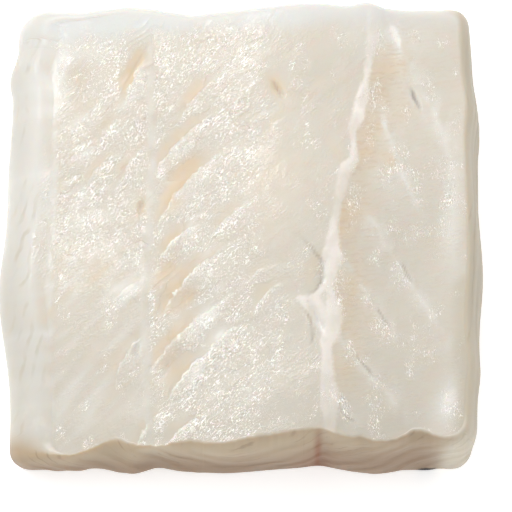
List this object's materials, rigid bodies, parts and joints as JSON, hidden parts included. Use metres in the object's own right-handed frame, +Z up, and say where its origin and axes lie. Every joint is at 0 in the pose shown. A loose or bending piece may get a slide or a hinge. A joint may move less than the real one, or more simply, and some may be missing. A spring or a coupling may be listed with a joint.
{
  "type": "raw white fish fillet portion",
  "caption": "Square portion of raw skinned white fish fillet with rounded edges, flake relief, a seam of white tissue and small tears on its wet top.",
  "frame": {"origin": "centre of the flat base that the portion rests on", "axes": "+Z up from the base, +X towards the thick side of the fillet, +Y from the near cut face to the far cut face"},
  "size_m": [0.1004, 0.0976, 0.0335],
  "materials": {
    "flesh": "wet, translucent raw white flesh, warm cream on top and tan on the cut faces"
  },
  "bodies": {
    "root": {"fillet": "flesh"}
  },
  "joints": []
}
